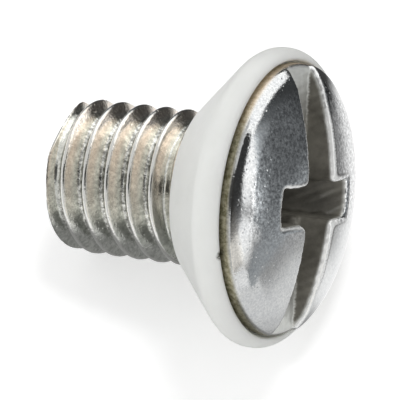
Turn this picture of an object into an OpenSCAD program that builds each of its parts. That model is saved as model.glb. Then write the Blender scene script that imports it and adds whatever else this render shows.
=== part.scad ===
// Seal screw: a raised countersunk machine screw with a combined slot and cross recess in its
// head, and the conical plastic ring under the head that seals the hole the screw closes.
// The screw lies on its side, on the rim of the ring and on the edge of its own end, head
// towards +X. The origin is on the surface it lies on, under the middle of its box.

/* [Screw] */
// Diameter of the thread over its crests
thread_d = 5; // [4.4:0.1:5.6]
// Length from the screw's end to the rim of its head
screw_len = 7.7; // [7.2:0.1:16]
// Bevel on the edge of the screw's end, along and across
end_bevel = 0.2; // [0.1:0.05:0.6]
// Depth of the plain neck below the crests of the thread
neck_relief = 0.27; // [0.2:0.01:0.4]
// Length of the plain neck between the thread's run-out and the seal ring
neck_gap = 0.08; // [0.05:0.01:0.5]

/* [Head] */
// Diameter of the head at its rim
head_d = 8.7; // [8.2:0.1:9.2]
// Height of the raised top over the rim
raise_h = 1.1; // [0.9:0.05:1.6]
// Height of the straight edge under the rim
edge_h = 0.45; // [0.35:0.05:0.7]
// Radius of the rounded shoulder between the rim and the raised top
shoulder_r = 2; // [1.2:0.1:2.4]
// Slope of the shoulder where it meets the rim, from the plane of the rim
shoulder_lean = 45; // [40:1:55]
// Full angle of the countersink under the head
sink_angle = 90; // [84:1:94]

/* [Drive] */
// Turn of the slot about the screw's axis, from the upright plane
drive_turn = 43; // [0:0.5:90]
// Width of the slot across the head
slot_w = 1.6; // [1.4:0.05:2]
// Depth of the slot's floor below the rim
slot_drop = 0.08; // [0.05:0.01:0.3]
// Width of the wings of the cross recess
wing_w = 1.25; // [0.9:0.05:1.35]
// Distance between the tips of opposite wings, at the top of the head
wing_span = 4.9; // [4:0.1:5.4]
// Depth of the cross recess from the top of the head
cross_depth = 2.5; // [2:0.1:2.8]
// Slant of the wings' outer edges from the axis
wing_slant = 26.5; // [20:0.5:28]
// Rounding of the corners between the slot and the wings
corner_round = 0.28; // [0.1:0.02:0.5]

/* [Seal ring] */
// Thickness of the lip around the head's straight edge
lip_wall = 0.39; // [0.3:0.01:0.8]
// Thickness of the ring's conical wall
ring_wall = 0.67; // [0.5:0.01:0.85]
// Height of the head's rim over the front of the ring
lip_drop = 0.27; // [0.2:0.01:0.35]
// Length of the bore in the ring's small end
tail_len = 0.25; // [0.1:0.05:0.5]
// Rounding of the rim between the cone and the outside
rim_back_round = 0.5; // [0.2:0.05:0.7]
// Rounding of the rim between the outside and the front
rim_front_round = 0.28; // [0.1:0.01:0.3]
// Rounding of the lip's inner edge
lip_round = 0.1; // [0.03:0.01:0.11]
// Rounding of the small end's outer edge
tail_round = 0.15; // [0.05:0.01:0.25]

/* [Fits] */
// Gap between the ring's inner cone and the countersink
seat_gap = 0.02; // [0.01:0.005:0.05]
// Gap between the ring's bore and the neck
bore_gap = 0.03; // [0.01:0.005:0.06]
// Gap between the ring's lip and the head's straight edge
lip_gap = 0.04; // [0.02:0.005:0.06]

/* [Hidden] */
$fn = 96;
// Overshoot of cutting shapes past the surfaces they cut
cut_over = 1;

// Heights run along the screw's axis from its end, and radii run out from the axis.
thread_r = thread_d / 2;
end_r = thread_r - end_bevel;
neck_r = thread_r - neck_relief;
head_r = head_d / 2;
sink_half = sink_angle / 2;
rim_z = screw_len;
edge_z = rim_z - edge_h;
top_z = rim_z + raise_h;
neck_z = edge_z - (head_r - neck_r) / tan(sink_half);

// The raised top is a ball that runs over into the rounded shoulder, which ends at the rim.
turn_r = head_r - shoulder_r * sin(shoulder_lean);
turn_z = rim_z - shoulder_r * cos(shoulder_lean);
turn_drop = top_z - turn_z;
dome_r = (turn_r * turn_r + turn_drop * turn_drop - shoulder_r * shoulder_r) / (2 * (turn_drop - shoulder_r));
dome_z = top_z - dome_r;

// The ring's inner and outer cones lie parallel to the countersink.
inner_shift = seat_gap / cos(sink_half);
outer_shift = (seat_gap + ring_wall) / cos(sink_half);
function sink_z(r, shift) = edge_z - (head_r + shift - r) / tan(sink_half);
bore_r = neck_r + bore_gap;
lip_r = head_r + lip_gap;
ring_r = lip_r + lip_wall;
front_z = rim_z - lip_drop;
bore_z = sink_z(bore_r, inner_shift);
tail_z = bore_z - tail_len;
tail_r = bore_r + (outer_shift - inner_shift) - tail_len * tan(sink_half);
corner_z = sink_z(ring_r, outer_shift);
front_round = min(rim_front_round, lip_wall - lip_round);
runout_z = tail_z - neck_gap;
thread_z = runout_z - neck_relief;

// Lying on its side, the screw touches the surface with the edge behind its end bevel and
// with the rounding behind the ring's rim. The tilt brings both to the same height.
rim_round_z = corner_z + rim_back_round * tan(sink_half / 2);
reach = rim_round_z - end_bevel;
rise = ring_r - rim_back_round - thread_r;
tilt = atan2(rise, reach) + asin(rim_back_round / norm([rise, reach]));
lift = thread_r * cos(tilt) - end_bevel * sin(tilt);
box_back = -end_r * sin(tilt);
box_front = dome_z * cos(tilt) + dome_r;
box_mid = (box_back + box_front) / 2;

module lying() {
  translate([-box_mid, 0, lift]) rotate([0, 90 - tilt, 0]) children();
}

// The waste that a round of radius r takes off the corner between the points a, p and b
module corner_waste(a, p, b, r) {
  to_a = (a - p) / norm(a - p);
  to_b = (b - p) / norm(b - p);
  inward = (to_a + to_b) / norm(to_a + to_b);
  half = acos(to_a * to_b) / 2;
  centre = p + inward * r / sin(half);
  run = r / tan(half);
  difference() {
    polygon([p - inward * r, p + to_a * run, centre, p + to_b * run]);
    translate(centre) circle(r);
  }
}

// A section with some of its corners rounded, each by its own radius
module rounded_section(points, rounds) {
  n = len(points);
  difference() {
    polygon(points);
    for (i = [0:n - 1])
      if (rounds[i] > 0)
        corner_waste(points[(i + n - 1) % n], points[i], points[(i + 1) % n], rounds[i]);
  }
}

// Half section of the screw: bevelled end, shank, neck, countersink, straight edge and top
module screw_section() {
  intersection() {
    polygon([[0, 0], [end_r, 0], [thread_r, end_bevel], [thread_r, thread_z], [neck_r, runout_z],
             [neck_r, neck_z], [head_r, edge_z], [head_r, top_z], [0, top_z]]);
    union() {
      square([head_r + cut_over, turn_z]);
      translate([turn_r, turn_z]) circle(shoulder_r);
      intersection() {
        translate([0, dome_z]) circle(dome_r);
        polygon([[0, dome_z], [0, dome_z] + 2 * [turn_r, turn_z - dome_z], [0, top_z + cut_over]]);
      }
    }
  }
}

// Plan of the slot, with its corners to the wings rounded
module slot_plan() {
  square([slot_w, head_d + 2 * cut_over], center = true);
  for (x = [-1, 1], y = [-1, 1])
    scale([x, y])
      translate([slot_w / 2, wing_w / 2]) difference() {
        translate([-corner_round, -corner_round]) square(2 * corner_round);
        translate([corner_round, corner_round]) circle(corner_round);
      }
}

// Plan of the four wings
module wing_plan() {
  square([wing_w, wing_span], center = true);
  square([wing_span, wing_w], center = true);
}

// The drive: a slot right across the head, and a deeper cross whose wings slant inwards
module drive() {
  floor_z = top_z - cross_depth;
  root_r = wing_span / 2 - cross_depth * tan(wing_slant);
  head_room = cross_depth + cut_over;
  translate([0, 0, rim_z - slot_drop]) linear_extrude(raise_h + slot_drop + cut_over) slot_plan();
  intersection() {
    translate([0, 0, floor_z]) linear_extrude(head_room) wing_plan();
    translate([0, 0, floor_z]) cylinder(h = head_room, r1 = root_r, r2 = root_r + head_room * tan(wing_slant));
  }
}

// The screw is cold formed in one piece from steel wire and bright plated. Its shank stands
// here at the diameter of the thread's crests.
module screw() {
  color([0.72, 0.70, 0.66])
    lying() difference() {
      rotate_extrude() screw_section();
      rotate([0, 0, drive_turn]) drive();
    }
}

// The seal ring is moulded in one piece from white plastic. It is pushed over the thread, and
// its cone fills the space between the countersink and the hole.
module seal_ring() {
  color([0.93, 0.93, 0.92])
    lying() rotate_extrude()
      rounded_section(
        [[bore_r, tail_z], [tail_r, tail_z], [ring_r, corner_z], [ring_r, front_z], [lip_r, front_z],
         [lip_r, sink_z(lip_r, inner_shift)], [bore_r, bore_z]],
        [0, tail_round, rim_back_round, front_round, lip_round, 0, 0]);
}

screw();
seal_ring();
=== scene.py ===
import math
import bpy
import numpy as np
from mathutils import Euler, Matrix, Vector


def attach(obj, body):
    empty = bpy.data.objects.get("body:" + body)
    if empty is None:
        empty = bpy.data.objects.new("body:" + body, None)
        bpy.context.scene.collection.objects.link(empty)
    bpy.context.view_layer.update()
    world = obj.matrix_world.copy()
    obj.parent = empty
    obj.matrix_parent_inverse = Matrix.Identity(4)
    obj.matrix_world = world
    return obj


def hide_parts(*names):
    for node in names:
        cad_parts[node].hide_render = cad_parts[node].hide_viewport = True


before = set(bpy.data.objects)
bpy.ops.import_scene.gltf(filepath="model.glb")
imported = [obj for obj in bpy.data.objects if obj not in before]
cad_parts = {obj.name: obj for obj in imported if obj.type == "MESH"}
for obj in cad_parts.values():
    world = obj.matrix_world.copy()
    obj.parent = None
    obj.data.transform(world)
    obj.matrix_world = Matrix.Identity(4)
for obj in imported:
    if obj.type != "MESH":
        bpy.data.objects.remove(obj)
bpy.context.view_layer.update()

# Screw
# A raised countersunk machine screw, cold formed in one piece from steel wire and bright plated.
# The slot and the cross are pressed into the head, and the M5 thread is rolled on the shank.

# Sizes are in millimetres. Heights run along the axis from the screw's end, radii out from it.
# The thread tapers at its first turn and runs out into the neck.
thread_r = 2.5
thread_pitch = 0.8
thread_depth = 0.49
crest_flat = thread_pitch / 8
crest_z = 0.4985
crest_side = math.radians(124.986)
crest_round = 0.05
root_round = 0.10
lead_r = 2.40
lead_taper = 0.13
thread_top = 4.5317
runout_len = 0.5
runout_rise = 0.42
neck_r = 2.23
neck_round = 0.08
shank_top = 6.0

# The end stands out a little beside the first crest, no further than the back of the screw's box.
end_bevel = 0.17
end_bevel_round = 0.04
end_round = 0.08
end_bulge = 0.30
end_bulge_spread = 1.25
end_limit = -0.735

# The head is a ball top that runs over a rounded shoulder into the straight edge.
head_r = 4.33
edge_z = 7.25
rim_z = 7.7
top_z = 8.8
dome_r = 10.5
shoulder_at = 3.6
shoulder_r = 2.0
rim_round = 0.07
sink_round = 0.06

# The drive is a slot right across the head and a deeper cross with slanting wings.
slot_turn = math.radians(43)
slot_half = 0.8
slot_off = -0.05
slot_flare = 0.03
slot_floor = 7.62
slot_round = 0.12
wing_half = 0.61
wing_draft = 0.045
wing_round = 0.30
wing_tip = 2.5
wing_tip_round = 0.12
wing_slant = math.radians(26.5)
cross_depth = 2.6
cross_floor = 6.3
cross_round = 0.2
wing_root = wing_tip - cross_depth * math.tan(wing_slant)
drive_round = 0.34
drive_waver = 0.012
mouth_round = 0.19

# The screw lies on the rim of the ring and on the edge of its own end.
lying_tilt = math.radians(18.98376)
lying_shift = np.array([-4.075881, 0, 2.298967])


# The greater and the lesser of two distances, with the corner between them rounded over k
def soft_max(a, b, k):
    h = np.maximum(k - np.abs(a - b), 0.0)
    return np.maximum(a, b) + h * h / (4 * k)


def soft_min(a, b, k):
    return -soft_max(-a, -b, k)


# Places across the slot and along it
def slot_places(x, y):
    across = x * math.cos(slot_turn) + y * math.sin(slot_turn)
    along = -x * math.sin(slot_turn) + y * math.cos(slot_turn)
    return across, along


# Distance from the hollow of the drive, below 0 inside it, with the slight waver of a pressed face
def drive_cut(x, y, z):
    across, along = slot_places(x, y)
    rise = np.maximum(z - slot_floor, 0.0)
    slot_sides = np.abs(across - slot_off) - slot_half - slot_flare * rise
    slot = soft_max(slot_sides, slot_floor - z, slot_round)
    deep = z - cross_floor
    width = wing_half - wing_draft * (top_z - z)
    wings = soft_min(np.abs(across) - width, np.abs(along) - width, wing_round)
    r = np.sqrt(x * x + y * y)
    slanted = (r - wing_root - deep * math.tan(wing_slant)) * math.cos(wing_slant)
    cross = soft_max(soft_max(wings, slanted, wing_tip_round), -deep, cross_round)
    long_waver = np.sin(10 * x + 5 * y + 1) * np.sin(8 * y - 6 * z)
    short_waver = 0.6 * np.sin(17 * x - 12 * y + 9 * z)
    return soft_min(slot, cross, drive_round) + drive_waver * (long_waver + short_waver)


# Distance from the raised top: the ball in the middle and the rounded shoulder outside it
def raised_top(r, z):
    lean = math.asin(shoulder_at / dome_r)
    ball_z = top_z - dome_r
    ball = np.sqrt(r * r + (z - ball_z) ** 2) - dome_r
    turn_r = shoulder_at - shoulder_r * math.sin(lean)
    turn_z = ball_z + (dome_r - shoulder_r) * math.cos(lean)
    turn = np.hypot(np.maximum(r - turn_r, 0.0), np.maximum(z - turn_z, 0.0)) - shoulder_r
    return np.where(r * math.cos(lean) < (z - ball_z) * math.sin(lean), ball, turn)


def head_distance(x, y, z):
    r = np.sqrt(x * x + y * y)
    head = soft_max(raised_top(r, z), r - head_r, rim_round)
    countersink = ((r - head_r) - (z - edge_z)) / math.sqrt(2)
    head = soft_max(head, countersink, sink_round)
    return soft_max(head, -drive_cut(x, y, z), mouth_round)


# Distance from the threaded shank. The crests keep their full height on the side that it lies on.
def shank_distance(x, y, z):
    r = np.sqrt(x * x + y * y)
    turn = np.arctan2(y, x) - crest_side
    offset = z - crest_z - thread_pitch * turn / (2 * math.pi)
    offset = offset - thread_pitch * np.round(offset / thread_pitch)
    around = np.abs((turn + math.pi) % (2 * math.pi) - math.pi)
    bulge = np.cos(np.minimum(around / end_bulge_spread, math.pi / 2)) ** 2
    end_z = -end_bulge * bulge * np.minimum(r / thread_r, 1.0)
    end_z = np.maximum(end_z, (end_limit - x * math.sin(lying_tilt)) / math.cos(lying_tilt))
    lying_side = np.maximum(x / np.maximum(r, 0.1), 0.0) ** 4
    lead = lead_r + lead_taper * (z - end_z) + (thread_r - lead_r) * lying_side
    crest_r = np.minimum(thread_r, lead)
    crest_r = np.minimum(crest_r, np.maximum(thread_r - (z - thread_top), neck_r))
    runout = np.maximum(z - thread_top + runout_len, 0) * runout_rise
    core_r = np.minimum(thread_r - thread_depth + runout, crest_r)
    flank = ((r - crest_r) + (np.abs(offset) - crest_flat / 2) * math.sqrt(3)) / 2
    ridge = soft_max(r - crest_r, flank, crest_round)
    shank = soft_min(ridge, r - core_r, root_round)
    bevel = (r - (thread_r - end_bevel) - (z - end_z)) / math.sqrt(2)
    shank = soft_max(shank, bevel, end_bevel_round)
    shank = soft_max(shank, end_z - z, end_round)
    return np.maximum(shank, z - shank_top)


def screw_distance(x, y, z):
    return soft_min(shank_distance(x, y, z), head_distance(x, y, z), neck_round)


# Skin of a distance on a grid: a point in each cell that the surface passes through, and a quad
# round each edge of the grid that it crosses
def skin(distance, xs, ys, zs):
    f = np.empty((len(xs), len(ys), len(zs)))
    for i, x in enumerate(xs):
        yy, zz = np.meshgrid(ys, zs, indexing="ij")
        f[i] = distance(np.full_like(yy, x), yy, zz)
    inside = f < 0
    total = np.zeros((len(xs) - 1, len(ys) - 1, len(zs) - 1, 3))
    count = np.zeros(total.shape[:3])
    axes = (xs, ys, zs)
    crossings = []
    for axis in range(3):
        lo = [slice(None)] * 3
        hi = [slice(None)] * 3
        lo[axis] = slice(0, -1)
        hi[axis] = slice(1, None)
        at = np.argwhere(inside[tuple(lo)] != inside[tuple(hi)])
        after = at.copy()
        after[:, axis] += 1
        fa, fb = f[tuple(at.T)], f[tuple(after.T)]
        point = np.stack([axes[a][at[:, a]] for a in range(3)], axis=1)
        point[:, axis] += fa / (fa - fb) * (axes[axis][after[:, axis]] - axes[axis][at[:, axis]])
        b, c = (axis + 1) % 3, (axis + 2) % 3
        for db in (0, -1):
            for dc in (0, -1):
                cell = at.copy()
                cell[:, b] += db
                cell[:, c] += dc
                np.add.at(total, tuple(cell.T), point)
                np.add.at(count, tuple(cell.T), 1)
        crossings.append((at, fa < 0, b, c))
    used = count > 0
    index = np.full(count.shape, -1)
    index[used] = np.arange(used.sum())
    points = total[used] / count[used][:, None]
    faces = []
    for at, leaving, b, c in crossings:
        corners = []
        for db, dc in ((-1, -1), (0, -1), (0, 0), (-1, 0)):
            cell = at.copy()
            cell[:, b] += db
            cell[:, c] += dc
            corners.append(index[tuple(cell.T)])
        quad = np.stack(corners, axis=1)
        quad[~leaving] = quad[~leaving][:, ::-1]
        faces.append(quad)
    return points, np.concatenate(faces)


def slope(distance, p, h=0.004):
    g = np.empty_like(p)
    for a in range(3):
        step = np.zeros(3)
        step[a] = h
        g[:, a] = (distance(*(p + step).T) - distance(*(p - step).T)) / (2 * h)
    return g


# Points moved onto the surface, each round by the reach at most
def settle(distance, p, rounds, reach):
    for _ in range(rounds):
        g = slope(distance, p)
        move = (distance(*p.T) / np.maximum((g * g).sum(1), 0.05))[:, None] * g
        far = np.linalg.norm(move, axis=1, keepdims=True)
        p = p - move * np.minimum(1.0, reach / np.maximum(far, 1e-9))
    return p


# Points moved a share of the way to the middle of their neighbours
def ease(points, faces, share):
    edges = np.concatenate([faces[:, [i, (i + 1) % 4]] for i in range(4)])
    total = np.zeros_like(points)
    count = np.zeros(len(points))
    np.add.at(total, edges[:, 0], points[edges[:, 1]])
    np.add.at(total, edges[:, 1], points[edges[:, 0]])
    np.add.at(count, edges[:, 0], 1)
    np.add.at(count, edges[:, 1], 1)
    return points + share * (total / count[:, None] - points)


# From the screw's own axis to the table, first the direction alone and then the place in metres
def turn_down(n):
    x, y, z = n.T
    s, c = math.sin(lying_tilt), math.cos(lying_tilt)
    return np.stack([x * s + z * c, y, z * s - x * c], axis=1)


def lay_down(p):
    return (turn_down(p) + lying_shift) / 1000


def put_in_scene(name, data):
    thing = bpy.data.objects.new(name, data)
    bpy.context.scene.collection.objects.link(thing)
    return thing


def make_piece(name, points, faces, normals=None):
    mesh = bpy.data.meshes.new(name)
    mesh.from_pydata(points.tolist(), [], faces.tolist())
    mesh.update()
    mesh.shade_smooth()
    if normals is not None:
        mesh.normals_split_custom_set_from_vertices(normals.tolist())
    return put_in_scene(name, mesh)


# The grid is coarser along the countersink, which the ring hides.
wide_step = 0.07
fine_step = 0.06
hidden_step = 0.13
hidden_from = 4.85
hidden_to = 6.3
settle_reach = 0.05
wide = np.arange(-4.55, 4.56, wide_step)
high = np.concatenate([
    np.arange(-0.29, hidden_from, fine_step),
    np.arange(hidden_from, hidden_to, hidden_step),
    np.arange(hidden_to, 9.2, fine_step)])
screw_points, screw_faces = skin(screw_distance, wide, wide, high)
screw_points = settle(screw_distance, screw_points, 3, settle_reach)
for _ in range(2):
    screw_points = ease(screw_points, screw_faces, 0.5)
    screw_points = settle(screw_distance, screw_points, 2, settle_reach)
screw_normals = slope(screw_distance, screw_points)
screw_normals /= np.maximum(np.linalg.norm(screw_normals, axis=1, keepdims=True), 1e-6)
screw = make_piece("screw_body", lay_down(screw_points), screw_faces, turn_down(screw_normals))


# A share that grows from 0, where the value is 0, to 1, where it is full
def fade(value, full):
    return np.clip(value / full, 0, 1)


sx, sy, sz = screw_points.T
sr = np.hypot(sx, sy)
side = np.arctan2(sy, sx)
facing_up = screw_normals[:, 2]
across, along = slot_places(sx, sy)
from_drive = drive_cut(sx, sy, sz)
depth = np.where(sz > shank_top, -raised_top(sr, sz), 0.0)
on_top = sz > rim_z

# The shank: its dull end, lower flanks, rubbed crests, and painted shade in its roots and on its
# underside.
# The ring hides the seam between the finishes of the thread and the head.
finish_seam_z = 5.4
end_face_z = 0.4
low_flank_r = 2.30
root_r = 2.11
root_from_z = 0.3
rubbed_r = 2.45
lit_side = math.radians(140)
threaded = fade(finish_seam_z - sz, 0.4)
end_face = fade(-0.7 - facing_up, 0.2) * (sz < end_face_z)
low_flank = fade(low_flank_r - sr, 0.2) * threaded
# Painted shade in the thread's roots; the same mark also makes the roots roughest.
root = fade(root_r - sr, 0.07) * threaded * (sz > root_from_z)
crest = fade(sr - rubbed_r, 0.03) * threaded
# Painted shade: the thread is greyer and darker on the side away from the lit side.
shaded = np.clip(0.5 - 0.9 * np.cos(side - lit_side), 0, 1) * threaded

# The drive: its pressed faces, and painted shade on its walls and floor, darker with depth
drive_reach = 0.06
drive_from_depth = 0.08
dark_wall_depth = 0.10
dark_floor_depth = 0.40
drive = fade(drive_reach - np.abs(from_drive), 0.05) * fade(depth - drive_from_depth, 0.06)
dark_wall = fade(0.8 - facing_up, 0.3) * fade(depth - dark_wall_depth, 0.12)
dark_floor = fade(depth - dark_floor_depth, 0.5)
recess = drive * np.maximum(dark_wall, dark_floor)

# Painted light on the head's straight edge beside the ring's lip: olive shade, a little higher on one
# side, and a tan reflection of the ring on another.
olive_z = 7.69
olive_rise = 0.05
olive_deep = 0.06
olive_high_side = math.radians(265)
tan_side = math.radians(142)
edge_top = olive_z + olive_rise * np.cos(side - olive_high_side)
# Painted shade on the edge where it meets the gap by the ring's lip; the same mark also makes the edge
# duller.
edge = fade(sr - head_r + olive_deep, 0.03) * fade(edge_top - sz, 0.12) * (1 - threaded)
# Painted reflection of the ring, tan, on one side of the edge.
tan = fade(np.cos(side - tan_side) - 0.62, 0.3)

# A painted highlight round the mouth of the drive, broader on the slot's right edge, and a painted
# shadow line beside it there
right_reach = 3.0
highlight_w = 0.12
right_highlight_w = 0.18
highlight_end = 1.7
shadow_line_at = 0.19
shadow_line_w = 0.04
shadow_line_from = 0.7
right_edge = (across > slot_half / 2) * fade(right_reach - np.abs(along), 0.5)
highlight_here = highlight_w + (right_highlight_w - highlight_w) * right_edge
from_mouth = np.maximum(np.abs(from_drive), np.abs(depth))
painted_highlight = fade(highlight_here - from_mouth, 0.06) * on_top * fade(highlight_end - across, 0.4)
painted_shadow_line = np.clip(1.4 - np.abs(from_drive - shadow_line_at) / shadow_line_w, 0, 1) * (np.abs(depth) < 0.05)
painted_shadow_line = painted_shadow_line * right_edge * on_top * fade(np.abs(along) - shadow_line_from, 0.1)

# The pitted part of the top, inside the shoulder
pitted_from = -1.6
pitted_r = 3.9
pitted = fade(along - pitted_from, 1.4) * fade(pitted_r - sr, 0.25) * (1 - threaded)

marks = {
    "threaded": threaded, "end_face": end_face, "low_flank": low_flank, "root": root, "crest": crest,
    "shaded": shaded, "drive": drive, "recess": recess, "edge": edge, "tan": tan, "painted_highlight": painted_highlight,
    "painted_shadow_line": painted_shadow_line, "pitted": pitted}
for name, values in marks.items():
    mark = screw.data.attributes.new(name, "FLOAT", "POINT")
    mark.data.foreach_set("value", values.astype(np.float32))


# A new finish, with its nodes and links. The helpers after this add to the finish opened last.
def open_finish(name):
    finish = bpy.data.materials.new(name)
    finish.use_nodes = True
    return finish, finish.node_tree.nodes, finish.node_tree.links


def marked(name):
    node = nodes.new("ShaderNodeAttribute")
    node.attribute_name = name
    return node.outputs["Fac"]


def grain(scale, detail, rough=0.5):
    place = nodes.new("ShaderNodeTexCoord")
    noise = nodes.new("ShaderNodeTexNoise")
    noise.inputs["Scale"].default_value = scale
    noise.inputs["Detail"].default_value = detail
    noise.inputs["Roughness"].default_value = rough
    links.new(place.outputs["Object"], noise.inputs["Vector"])
    return noise.outputs["Fac"]


def spread_to(value, low, high, from_low=0.0, from_high=1.0):
    node = nodes.new("ShaderNodeMapRange")
    node.inputs["From Min"].default_value = from_low
    node.inputs["From Max"].default_value = from_high
    node.inputs["To Min"].default_value = low
    node.inputs["To Max"].default_value = high
    links.new(value, node.inputs["Value"])
    return node.outputs["Result"]


def blend(kind, share, first, second):
    node = nodes.new("ShaderNodeMix")
    node.data_type = kind
    links.new(share, node.inputs["Factor"])
    for socket, value in ((node.inputs["A"], first), (node.inputs["B"], second)):
        if isinstance(value, tuple):
            socket.default_value = (*value, 1)
        elif isinstance(value, float):
            socket.default_value = value
        else:
            links.new(value, socket)
    return node.outputs["Result"]


def blend_colour(share, first, second):
    return blend("RGBA", share, first, second)


def blend_value(share, first, second):
    return blend("FLOAT", share, first, second)


# Height of a surface with small bowls in a share of its cells, some deep and some shallow
def pits(scale, share):
    place = nodes.new("ShaderNodeTexCoord")
    cells = nodes.new("ShaderNodeTexVoronoi")
    cells.inputs["Scale"].default_value = scale
    links.new(place.outputs["Object"], cells.inputs["Vector"])
    pick = nodes.new("ShaderNodeSeparateColor")
    links.new(cells.outputs["Color"], pick.inputs["Color"])
    deep_bowl = spread_to(cells.outputs["Distance"], 0, 1, 0.05, 0.36)
    shallow_bowl = spread_to(cells.outputs["Distance"], 0.7, 1, 0.0, 0.2)
    bowl = blend_value(pick.outputs["Green"], deep_bowl, shallow_bowl)
    in_bowl = spread_to(pick.outputs["Red"], 0, 1, share, share - 0.05)
    height = nodes.new("ShaderNodeMath")
    height.operation = "MAXIMUM"
    links.new(bowl, height.inputs[0])
    links.new(spread_to(in_bowl, 1, 0), height.inputs[1])
    return height.outputs[0]


def bumped(height, strength, distance, under=None):
    node = nodes.new("ShaderNodeBump")
    node.inputs["Strength"].default_value = strength
    node.inputs["Distance"].default_value = distance
    links.new(height, node.inputs["Height"])
    if under is not None:
        links.new(under.outputs["Normal"], node.inputs["Normal"])
    return node


plating, nodes, links = open_finish("bright_plating")
shader = nodes["Principled BSDF"]
cloud = spread_to(grain(1500, 4, 0.6), 0, 1, 0.35, 0.65)
speckle = grain(11000, 3, 0.7)
mottle = spread_to(grain(6800, 4, 0.75), 0, 1, 0.37, 0.63)
spots = spread_to(grain(8600, 3, 0.8), 0, 1, 0.36, 0.64)
dust = spread_to(grain(15000, 2, 0.6), 0, 1, 0.36, 0.64)

# The top of the head, bright and faintly clouded, with a spotted part
dull_top = blend_colour(cloud, (0.48, 0.49, 0.50), (0.53, 0.54, 0.54))
clear_top = blend_colour(cloud, (0.62, 0.63, 0.63), (0.66, 0.665, 0.655))
spotted_top = blend_colour(spots, (0.25, 0.255, 0.26), (0.91, 0.92, 0.92))
head_tone = blend_colour(marked("pitted"), blend_colour(dust, dull_top, clear_top), spotted_top)

# The thread, warm on its flanks and greyer near its roots, with painted shade on its underside and in
# its roots
warm_flank = blend_colour(mottle, (0.66, 0.60, 0.53), (0.97, 0.89, 0.79))
pale_flank = blend_colour(mottle, (0.57, 0.575, 0.53), (0.90, 0.90, 0.83))
painted_shade_flank = blend_colour(mottle, (0.40, 0.41, 0.38), (0.66, 0.67, 0.63))
painted_root_shade = blend_colour(mottle, (0.14, 0.14, 0.125), (0.85, 0.85, 0.80))
thread_tone = blend_colour(marked("low_flank"), warm_flank, pale_flank)
thread_tone = blend_colour(marked("shaded"), thread_tone, painted_shade_flank)
# Painted shade darkens the roots, where the crevices between the turns fall into shade.
thread_tone = blend_colour(marked("root"), thread_tone, painted_root_shade)
thread_tone = blend_colour(marked("crest"), thread_tone, (0.72, 0.72, 0.69))

# The end, the drive, the painted shade and reflection on the head's edge, and the painted highlight and
# shadow line beside the mouth of the drive
dull_end = blend_colour(mottle, (0.42, 0.42, 0.40), (0.60, 0.60, 0.575))
dark_recess = blend_colour(cloud, (0.12, 0.113, 0.095), (0.21, 0.20, 0.17))
painted_olive_shade = blend_colour(mottle, (0.135, 0.124, 0.07), (0.40, 0.375, 0.27))
painted_tan_reflection = blend_colour(mottle, (0.46, 0.36, 0.23), (0.68, 0.58, 0.45))
painted_edge_light = blend_colour(marked("tan"), painted_olive_shade, painted_tan_reflection)
painted_shadow_line_tone = blend_colour(mottle, (0.03, 0.03, 0.03), (0.3, 0.3, 0.29))
tone = blend_colour(marked("threaded"), head_tone, thread_tone)
tone = blend_colour(marked("end_face"), tone, dull_end)
tone = blend_colour(marked("drive"), tone, (0.74, 0.75, 0.72))
# Painted shade in the hollow of the drive, darker deeper down.
tone = blend_colour(marked("recess"), tone, dark_recess)
tone = blend_colour(marked("edge"), tone, painted_edge_light)
# Painted shadow line beside the slot's right edge.
tone = blend_colour(marked("painted_shadow_line"), tone, painted_shadow_line_tone)
# Painted highlight: a near white band round the mouth of the drive.
tone = blend_colour(marked("painted_highlight"), tone, (0.95, 0.955, 0.94))
links.new(tone, shader.inputs["Base Color"])

# The bright top is the smoothest, and the pressed drive the dullest.
top_shine = spread_to(speckle, 0.04, 0.11, 0.3, 0.7)
thread_shine = spread_to(speckle, 0.08, 0.20, 0.3, 0.7)
shine = blend_value(marked("threaded"), top_shine, thread_shine)
for name, roughness in (("crest", 0.10), ("end_face", 0.34), ("drive", 0.42), ("edge", 0.36)):
    shine = blend_value(marked(name), shine, roughness)
links.new(shine, shader.inputs["Roughness"])
metal = blend_value(marked("drive"), 1.0, 0.45)
# Less metal in the painted shade of the hollow, so that it stays dark.
metal = blend_value(marked("recess"), metal, 0.2)
# The painted highlight has little metal, so that it stays white.
metal = blend_value(marked("painted_highlight"), metal, 0.25)
links.new(metal, shader.inputs["Metallic"])

# Fine waves, grain and pits everywhere, and a rougher thread, most of all in its roots
waves = bumped(grain(4300, 2), 0.35, 0.000006)
fine = bumped(speckle, 0.4, 0.000006, waves)
worn = bumped(pits(8200, 0.34), 0.6, 0.00001, fine)
rough_thread = bumped(grain(8000, 3, 0.7), 0.9, 0.00002, worn)
thread_roughness = blend_value(marked("threaded"), 0.0, 0.35)
thread_roughness = blend_value(marked("root"), thread_roughness, 1.0)
links.new(thread_roughness, rough_thread.inputs["Strength"])
links.new(rough_thread.outputs["Normal"], shader.inputs["Normal"])
screw.data.materials.append(plating)
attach(screw, "root")
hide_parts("screw")

# Seal ring
# A conical ring moulded from white plastic, pushed over the thread until it snaps round the head.
# Its cone fills the countersink of the hole, and its lip closes round the edge of the head.
ring_r = 4.78
bore_r = 2.26
bore_z = 5.1317
tail_r = 2.957
tail_z = 4.8817
tail_round = 0.12
corner_z = 6.7042
corner_round = 0.5
lip_r = 4.39
lip_z = 7.36
cup_z = 7.2617
cup_round = 0.03
ring_parts = 240

# The front of the rim is a quarter of an oval, from the outside to the top of the lip.
brow_r = 4.43
brow_z = 6.97
brow_wide = 0.35
brow_tall = 0.46


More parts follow.
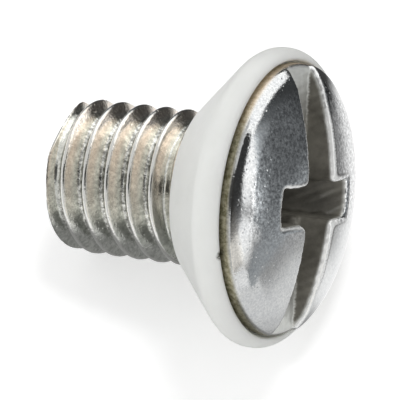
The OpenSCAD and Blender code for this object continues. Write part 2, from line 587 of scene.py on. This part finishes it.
# A closed section with some of its corners rounded, each by its own radius
def rounded(points, rounds, parts=10):
    out = []
    n = len(points)
    for i, (p, r) in enumerate(zip(points, rounds)):
        p = np.array(p)
        if r == 0:
            out.append(p)
            continue
        to_a = np.array(points[i - 1]) - p
        to_b = np.array(points[(i + 1) % n]) - p
        to_a /= np.linalg.norm(to_a)
        to_b /= np.linalg.norm(to_b)
        half = math.acos(to_a @ to_b) / 2
        mid = (to_a + to_b) / np.linalg.norm(to_a + to_b)
        centre = p + mid * r / math.sin(half)
        start = p + to_a * r / math.tan(half) - centre
        end = p + to_b * r / math.tan(half) - centre
        a0 = math.atan2(start[1], start[0])
        a1 = math.atan2(end[1], end[0])
        sweep = (a1 - a0 + math.pi) % (2 * math.pi) - math.pi
        for t in np.linspace(0, 1, parts + 1):
            a = a0 + sweep * t
            out.append(centre + r * np.array([math.cos(a), math.sin(a)]))
    return np.array(out)


def revolve(section, parts):
    a = np.linspace(0, 2 * math.pi, parts, endpoint=False)
    n = len(section)
    r, z = section.T
    grid = [np.outer(np.cos(a), r), np.outer(np.sin(a), r), np.tile(z, (parts, 1))]
    points = np.stack(grid, axis=2).reshape(-1, 3)
    i, j = np.meshgrid(np.arange(parts), np.arange(n), indexing="ij")
    i, j = i.ravel(), j.ravel()
    i2, j2 = (i + 1) % parts, (j + 1) % n
    return points, np.stack([i * n + j, i2 * n + j, i2 * n + j2, i * n + j2], axis=1)


brow = [(brow_r + brow_wide * math.cos(a), brow_z + brow_tall * math.sin(a))
        for a in np.radians(np.arange(8, 96, 8))]
tail_and_cone = [(bore_r, tail_z), (tail_r, tail_z), (ring_r, corner_z)]
lip_and_cup = [(lip_r, lip_z), (lip_r, cup_z), (bore_r, bore_z)]
ring_section = rounded(
    tail_and_cone + brow + lip_and_cup,
    [0, tail_round, corner_round] + [0] * len(brow) + [0, cup_round, cup_round])
ring_points, ring_faces = revolve(ring_section, ring_parts)
ring = make_piece("seal_ring_body", lay_down(ring_points), ring_faces)

# Satin white plastic, with a small speck of dirt on the lip
plastic, nodes, links = open_finish("satin_white_plastic")
shader = nodes["Principled BSDF"]
speck_at = (0.002239, -0.003892, 0.006753)
speck_inner = 0.00009
speck_outer = 0.00018
haze = spread_to(grain(900, 4, 0.6), 0, 1, 0.35, 0.65)
white = blend_colour(haze, (0.785, 0.795, 0.77), (0.815, 0.825, 0.80))
place = nodes.new("ShaderNodeTexCoord")
away = nodes.new("ShaderNodeVectorMath")
away.operation = "DISTANCE"
away.inputs[1].default_value = speck_at
links.new(place.outputs["Object"], away.inputs[0])
speck = spread_to(away.outputs["Value"], 1, 0, speck_inner, speck_outer)
crumbs = spread_to(grain(13000, 3, 0.7), 0, 1, 0.50, 0.66)
dirt = blend_colour(crumbs, (0.035, 0.033, 0.022), (0.6, 0.6, 0.56))
links.new(blend_colour(speck, white, dirt), shader.inputs["Base Color"])
links.new(spread_to(grain(5000, 3), 0.36, 0.50, 0.3, 0.7), shader.inputs["Roughness"])
satin = bumped(grain(9000, 3, 0.6), 0.4, 0.000008)
links.new(satin.outputs["Normal"], shader.inputs["Normal"])
shader.inputs["Subsurface Weight"].default_value = 0.4
shader.inputs["Subsurface Radius"].default_value = (1.0, 1.0, 0.95)
shader.inputs["Subsurface Scale"].default_value = 0.0007
ring.data.materials.append(plastic)
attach(ring, "root")
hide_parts("seal_ring")

# Table
# A plain white matt sheet that the screw lies on as it comes to rest.
# It glows a little for what sees it directly, so that it stays near white and keeps the shadow.
table_half = 0.4
table_glow = 0.42


# Strength 1 for what the camera sees, directly or in metal and glass, and 0 for other light
def seen_rays():
    path = nodes.new("ShaderNodeLightPath")
    seen = path.outputs["Is Camera Ray"]
    for kind in ("Is Glossy Ray", "Is Transmission Ray"):
        either = nodes.new("ShaderNodeMath")
        either.operation = "MAXIMUM"
        links.new(seen, either.inputs[0])
        links.new(path.outputs[kind], either.inputs[1])
        seen = either.outputs[0]
    return seen


floor_mesh = bpy.data.meshes.new("table")
table_corners = [(x * table_half, y * table_half, 0) for x, y in ((-1, -1), (1, -1), (1, 1), (-1, 1))]
floor_mesh.from_pydata(table_corners, [], [(0, 1, 2, 3)])
floor = put_in_scene("table", floor_mesh)
table_white, nodes, links = open_finish("table_white")
nodes.clear()
out = nodes.new("ShaderNodeOutputMaterial")
matt = nodes.new("ShaderNodeBsdfDiffuse")
matt.inputs["Color"].default_value = (0.83, 0.83, 0.83, 1)
glow = nodes.new("ShaderNodeEmission")
links.new(spread_to(seen_rays(), 0.0, table_glow), glow.inputs["Strength"])
both = nodes.new("ShaderNodeAddShader")
links.new(matt.outputs[0], both.inputs[0])
links.new(glow.outputs[0], both.inputs[1])
links.new(both.outputs[0], out.inputs["Surface"])
floor.data.materials.append(table_white)

# Light tent
# An even white tent all round, seen as white and a little dimmer as light.
# Three soft lamps, at the left, the front and the top, give the shadow its direction.
tent_light = 0.70
tent_seen = 1.0
world = bpy.data.worlds.new("light_tent")
bpy.context.scene.world = world
world.use_nodes = True
nodes, links = world.node_tree.nodes, world.node_tree.links
nodes.clear()
out = nodes.new("ShaderNodeOutputWorld")
tent = nodes.new("ShaderNodeBackground")
links.new(spread_to(seen_rays(), tent_light, tent_seen), tent.inputs["Strength"])
links.new(tent.outputs[0], out.inputs["Surface"])


def soft_lamp(name, place, aim, size, power):
    data = bpy.data.lights.new(name, "AREA")
    data.shape = "DISK"
    data.size = size
    data.energy = power
    lamp = put_in_scene(name, data)
    lamp.location = place
    lamp.rotation_euler = (Vector(aim) - Vector(place)).to_track_quat("-Z", "Y").to_euler()
    lamp.visible_glossy = False


soft_lamp("left_box", (-0.09, -0.06, 0.05), (0, 0, 0.004), 0.08, 0.012)
soft_lamp("front_box", (0.0, -0.10, 0.03), (0, 0, 0.004), 0.06, 0.022)
soft_lamp("top_box", (0.0, 0.03, 0.10), (0, 0, 0.003), 0.03, 0.03)

# Reflection cards
# Glowing cards bent round the head and sheets on the table, painted reflections seen only in glossy
# surfaces.
# Each is graded from dark to white, as a studio grades the reflections on polished metal.
cards_at = 0.0035
card_parts = 90
card_rows = 24


def step_up(v, a, b):
    t = min(max((v - a) / (b - a), 0.0), 1.0)
    return t * t * (3 - 2 * t)


def show_card(name, verts, tones, parts):
    row = parts + 1
    starts = [k for k in range(len(verts) - row - 1) if (k + 1) % row]
    mesh = bpy.data.meshes.new(name)
    mesh.from_pydata(verts, [], [(k, k + 1, k + row + 1, k + row) for k in starts])
    shade = mesh.attributes.new("tone", "FLOAT_COLOR", "POINT")
    for k, colour in enumerate(tones):
        shade.data[k].color = (*colour, 1)
    card = put_in_scene(name, mesh)
    card_glow, nodes, links = open_finish(name)
    nodes.clear()
    out = nodes.new("ShaderNodeOutputMaterial")
    glow = nodes.new("ShaderNodeEmission")
    read = nodes.new("ShaderNodeAttribute")
    read.attribute_name = "tone"
    links.new(read.outputs["Color"], glow.inputs["Color"])
    links.new(glow.outputs[0], out.inputs["Surface"])
    card.data.materials.append(card_glow)
    card.visible_camera = False
    card.visible_diffuse = False
    card.visible_shadow = False
    card.visible_transmission = False


# A card bent round the head. Its edge is given as turns in degrees, each with a lowest and a highest
# height, and its tone depends on the turn, the height and the share of the way up.
def bent_card(name, radius, edge, tone):
    turns, lows, highs = zip(*edge)
    verts, tones = [], []
    for j in range(card_rows + 1):
        share = j / card_rows
        for turn in np.linspace(turns[0], turns[-1], card_parts + 1):
            low, high = np.interp(turn, turns, lows), np.interp(turn, turns, highs)
            z = low + (high - low) * j / card_rows
            x = cards_at + radius * math.sin(math.radians(turn)) / 1000
            y = radius * math.cos(math.radians(turn)) / 1000
            verts.append((x, y, z / 1000))
            tones.append(tone(turn, z, share))
    show_card(name, verts, tones, card_parts)


def even(*colour):
    return lambda turn, z, share: colour


# A dark card round the front of the head, which pales towards its end and its top
def dark_back(turn, z, share):
    g = 0.06 + 0.10 * step_up(turn, 30, 50) + 0.06 * step_up(turn, 55, 75) + 0.14 * step_up(turn, 75, 92)
    not_end = 1 - step_up(turn, 84, 92)
    g += (0.40 - g) * step_up(share, 0.45, 0.7) * step_up(turn, 50, 57) * not_end
    g += (0.88 - g) * step_up(share, 0.70, 0.9) * step_up(turn, 59, 65) * not_end
    g += (0.46 - g) * step_up(-z, -4, -1) * step_up(turn, 48, 60)
    return (g * 0.95, g, g * 1.04)


dark_tops = [(18, 8.6), (22, 9.6), (29, 12.1), (36, 14.2), (43, 16.2), (50, 17.0), (57, 18.6),
             (62, 18.4), (67, 17), (72, 14.8), (76, 12.2), (81, 9), (88, 6.5), (94, 6.0), (106, 4.4),
             (114, 4.6), (119, 4)]
bent_card("dark_card", 14.5, [(turn, 0, top) for turn, top in dark_tops], dark_back)


# A dark card far behind, white along its top
def far_back(turn, z, share):
    g = 0.06 + 0.94 * step_up(z, 10.5, 12.5)
    return (g, g, g)


bent_card("far_card", 60, [(-60, 0, 16), (45, 0, 16)], far_back)


# A tall white panel outside the dark card, greyer at its end
def white_back(turn, z, share):
    g = 1.55 - 0.93 * step_up(turn, 85, 91) * (1 - step_up(z, 10, 15)) - 0.4 * step_up(turn, 98, 106)
    return (g, g, g)


white_edge = [(-60, 9, 45), (20, 9, 45), (24, 3, 45), (108, 3, 45)]
bent_card("white_panel", 19, white_edge, white_back)

# A black flag high in front of the head
flag_edge = [(57, 25, 42), (62, 20.5, 42), (68, 19, 42), (85, 18, 42), (95, 17, 42)]
bent_card("high_flag", 13.5, flag_edge, even(0.05, 0.05, 0.05))


# A card on the camera's side of the head: white with a grey stripe below, dark above
def rim_tone(turn, z, share):
    top_turns = (92, 101, 104, 108, 111, 130, 150)
    top_heights = (17, 15.5, 13.6, 12.2, 10.6, 9.8, 10.5)
    top = np.interp(turn, top_turns, top_heights)
    stripe = 6.6 + 0.26 * (turn - 88)
    g = 0.4 + step_up(z, 3.9, 5.8) - 0.42 * step_up(turn, 122, 128)
    g -= 0.9 * (1 - step_up(abs(z - stripe), 0.5, 1.9)) * (1 - step_up(turn, 106, 112))
    dark = 0.05 + 0.1 * (1 - step_up(z, 14, 16)) + 0.22 * (1 - step_up(z, 11.5, 13.5))
    g += (dark - g) * step_up(z, top - 0.4, top + 0.4)
    warm = 0.1 * step_up(turn, 116, 126)
    return (g, g * (1 - 0.4 * warm), g * (1 - warm))


bent_card("rim_card", 14.3, [(92, 3.5, 42), (119, 3.5, 42), (124, 5, 42), (150, 5, 42)], rim_tone)

# A low warm white card on the same side, and the dark of the room round the camera
bent_card("warm_card", 30, [(117, 4.5, 14), (150, 4.5, 16)], even(1.32, 1.24, 1.10))
bent_card("lens_side", 50, [(125, 50, 160), (215, 50, 160)], even(0.08, 0.08, 0.08))


# The sheet on the table round the screw, graded by the place in millimetres, with a painted shadow under
# and in front of the screw that shows only in reflections
def sheet_tone(x, y):
    right = 1.1 - 0.77 * step_up(x, 5.2, 7.8) + 0.2 * step_up(-y, -6, -2.5) * step_up(x, 6.5, 9)
    front = 1.15 - 0.2 * step_up(x, 6, 8.5) - 0.5 * step_up(x, 9.5, 16) * step_up(y, -3.4, -2.2)
    # Painted shadow: the sheet is darker under and in front of the screw.
    under = 0.72 - 0.42 * step_up(x, 4.5, 6.6) - 0.3 * step_up(x, 6.6, 8.5)
    front *= 1 - under * step_up(-y, 0.2, 1.5) * (1 - step_up(-x, 5, 9)) * (1 - step_up(-y, 8, 14))
    g = front + (right - front) * step_up(y, 0.3, 2.2)
    back = 8.0 + 1.6 * step_up(x, 2, 6)
    g *= 1 - 0.94 * step_up(y, back, back + 2.6 + 0.8 * step_up(x, 2, 6))
    return (g, g, g)


sheet_lift = 0.00002
sheet_xs = np.linspace(-14, 19, 67)
sheet_ys = np.linspace(-14, 15, 59)
sheet = [(x / 1000, y / 1000, sheet_lift) for y in sheet_ys for x in sheet_xs]
sheet_tones = [sheet_tone(x, y) for y in sheet_ys for x in sheet_xs]
show_card("reflection_sheet", sheet, sheet_tones, len(sheet_xs) - 1)

# A dark sheet on the table behind it
dark_sheet = [(x, y, sheet_lift) for y in (0.015, 0.08) for x in (-0.05, 0.06)]
show_card("dark_reflection_sheet", dark_sheet, [(0.06, 0.06, 0.06)] * len(dark_sheet), 1)

# Camera
# A long lens that looks down on the head and the side of the screw.
# Its place, tip and turn are those that the photograph was taken from.
camera_at = (0.020914, -0.053183, 0.090609)
camera_tip = math.radians(33.127)
camera_turn = math.radians(21.402)
camera_data = bpy.data.cameras.new("camera")
camera_data.sensor_width = 36
camera_data.lens = 292.77
camera_data.clip_start = 0.005
camera_data.clip_end = 10
camera = put_in_scene("camera", camera_data)
camera.matrix_world = Matrix.LocRotScale(Vector(camera_at), Euler((camera_tip, 0, camera_turn)), None)
bpy.context.scene.camera = camera
bpy.context.scene.view_settings.view_transform = "Standard"
